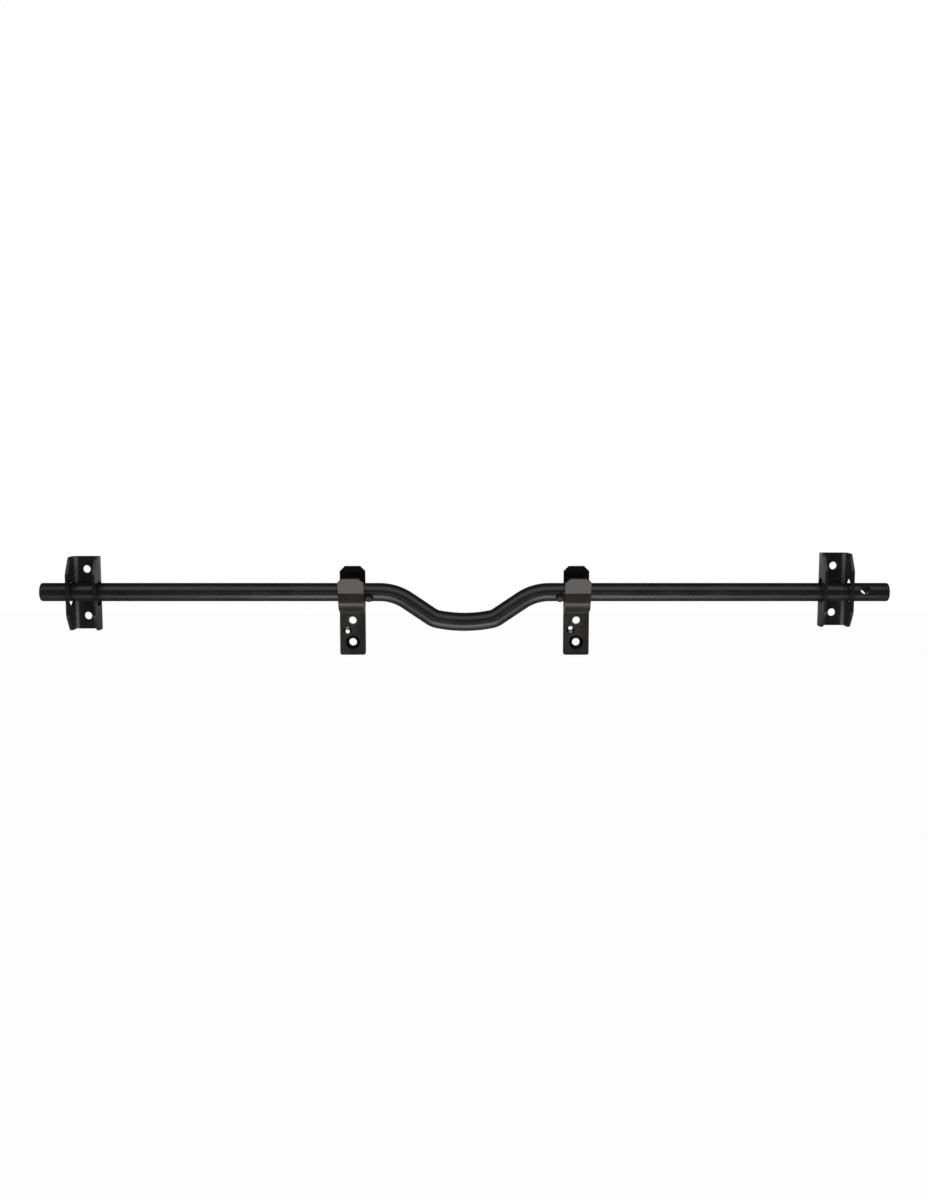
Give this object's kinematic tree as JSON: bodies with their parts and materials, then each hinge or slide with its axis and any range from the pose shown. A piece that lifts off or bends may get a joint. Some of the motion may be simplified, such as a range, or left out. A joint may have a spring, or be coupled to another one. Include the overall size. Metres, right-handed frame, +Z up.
{
  "type": "shutter security bar",
  "caption": "Round black steel bar with a hand-grip bend, stop pins and a padlock hole, lying in bent hook cradles and channel brackets for shutter leaves.",
  "frame": {"origin": "on the shutter's face, level with the bar's axis, at the middle of the grip bend", "axes": "+Z up, +X along the bar towards the padlock hole, +Y into the shutter, so the viewer is at -Y"},
  "size_m": [0.922, 0.0339, 0.1126],
  "materials": {
    "bar_coat": "satin",
    "pin_coat": "satin",
    "bracket_coat": "satin",
    "cradle_coat": "satin",
    "plate_coat": "satin"
  },
  "bodies": {
    "cradles": {"left_cradle_hook": "cradle_coat", "right_cradle_hook": "cradle_coat", "left_backing_plate": "plate_coat", "right_backing_plate": "plate_coat"},
    "bar": {"lock_bar": "bar_coat", "left_stop_pin": "pin_coat", "right_stop_pin": "pin_coat"},
    "left_bracket": {"left_end_bracket": "bracket_coat"},
    "right_bracket": {"right_end_bracket": "bracket_coat"}
  },
  "joints": [
    {"name": "bar_turn", "type": "hinge", "parent": "cradles", "child": "bar", "pos_m": [0, -0.0134, 0], "axis": [-1, 0, 0], "range_deg": [0, 180]},
    {"name": "left_bracket_slide", "type": "slide", "parent": "cradles", "child": "left_bracket", "axis": [1, 0, 0], "range_m": [-0.03, 0.254]},
    {"name": "right_bracket_slide", "type": "slide", "parent": "cradles", "child": "right_bracket", "axis": [-1, 0, 0], "range_m": [-0.007, 0.244]}
  ]
}
